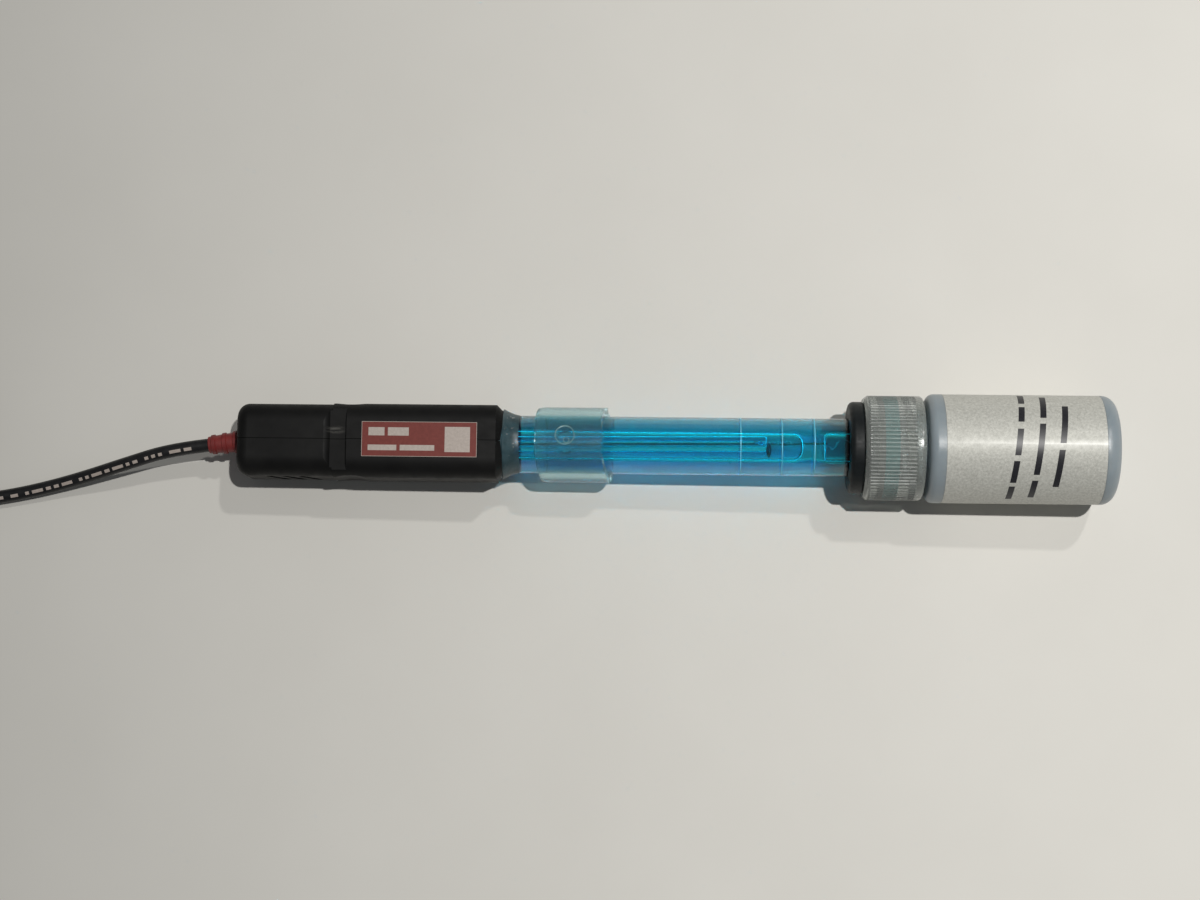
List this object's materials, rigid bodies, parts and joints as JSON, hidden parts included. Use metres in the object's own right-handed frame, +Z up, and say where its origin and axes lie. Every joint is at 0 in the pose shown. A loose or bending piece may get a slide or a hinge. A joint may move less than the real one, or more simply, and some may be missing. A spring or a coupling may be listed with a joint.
{
  "type": "copper sulphate reference electrode",
  "caption": "Hand held reference electrode with blue fill in a clear tube, soft refill sleeve, ribbed screw cap, storage bottle and a coiled lead with a bayonet plug.",
  "frame": {"origin": "middle of the underside of the electrode's box, cable and plug left out, on the bench", "axes": "+X along the electrode from handle to bottle, +Z up; the electrode lies with its handle end lower, so its own axis rises 1.4 degrees towards the bottle"},
  "size_m": [0.3633, 0.037, 0.0235],
  "materials": {
    "handle": "matt black moulded plastic, faint texture",
    "handle_label": "dull red plastic film",
    "strain_relief": "soft red moulding",
    "cable": "black sheath, slight sheen",
    "shrink_sleeve": "black shrink tube",
    "body_tube": "clear thick walled plastic",
    "potting": "cloudy cast resin",
    "stopper": "dark rubber",
    "glass": "clear glass",
    "copper": "bare copper",
    "inner_liquid": "blue liquid",
    "fill_liquid": "deep blue liquid",
    "thread": "fine thread",
    "frit": "porous ceramic",
    "silicone": "cloudy soft tube",
    "bottle": "cloudy blue grey plastic",
    "bottle_label": "satin silver film",
    "cap": "clear moulded plastic, fine ribs",
    "seal_rubber": "black rubber",
    "washer": "grey washer",
    "ring_rubber": "teal soft ring",
    "plug_boot": "black boot",
    "nickel": "nickel plate",
    "insulator": "white insulator",
    "gold": "gold plated contact",
    "gasket": "soft gasket",
    "tie": "black tie"
  },
  "bodies": {
    "electrode": {"handle_left_shell": "handle", "handle_right_shell": "handle", "handle_label": "handle_label", "strain_relief": "strain_relief", "cable_tail": "cable", "joint_sleeve": "shrink_sleeve", "body_tube": "body_tube", "potting_collar": "potting", "tube_stopper": "stopper", "inner_glass_tube": "glass", "capillary": "glass", "copper_wire": "copper", "inner_solution": "inner_liquid", "bridge_solution": "fill_liquid", "junction_thread": "thread", "inner_junction": "frit", "fill_solution": "fill_liquid", "tip_junction": "frit", "plug_boot": "plug_boot", "plug_ferrule": "nickel", "plug_body": "nickel", "plug_insulator": "insulator", "plug_pin": "gold", "plug_gasket": "gasket", "cable": "cable", "cable_lead": "cable", "cable_coil": "cable", "coil_tie": "tie"},
    "sleeve": {"refill_sleeve": "silicone"},
    "bottle": {"storage_bottle": "bottle", "bottle_label": "bottle_label"},
    "seal": {"seal_grommet": "seal_rubber", "slip_washer": "washer", "compression_ring": "ring_rubber"},
    "cap": {"screw_cap": "cap"},
    "plug_ring": {"coupling_ring": "nickel"}
  },
  "joints": [
    {"name": "sleeve_slide", "type": "slide", "parent": "electrode", "child": "sleeve", "axis": [0.9997, 0, 0.0254], "range_m": [-0.002, 0.04]},
    {"name": "bottle_pull", "type": "slide", "parent": "electrode", "child": "bottle", "axis": [0.9997, 0, 0.0254], "range_m": [0, 0.055]},
    {"name": "seal_lift", "type": "slide", "parent": "bottle", "child": "seal", "axis": [-0.9997, 0, -0.0254], "range_m": [0, 0.004]},
    {"name": "cap_turn", "type": "hinge", "parent": "seal", "child": "cap", "pos_m": [0.04215, 0, 0.01093], "axis": [-0.9997, 0, -0.0254], "range_deg": [0, 450]},
    {"name": "plug_ring_turn", "type": "hinge", "parent": "electrode", "child": "plug_ring", "pos_m": [-0.25407, -0.00158, 0.00715], "axis": [-0.9843, 0.0602, 0.166], "continuous": true}
  ],
  "couplings": [
    {"joint": "seal_lift", "follows": "cap_turn", "m_per_rad": 0.0005093}
  ]
}
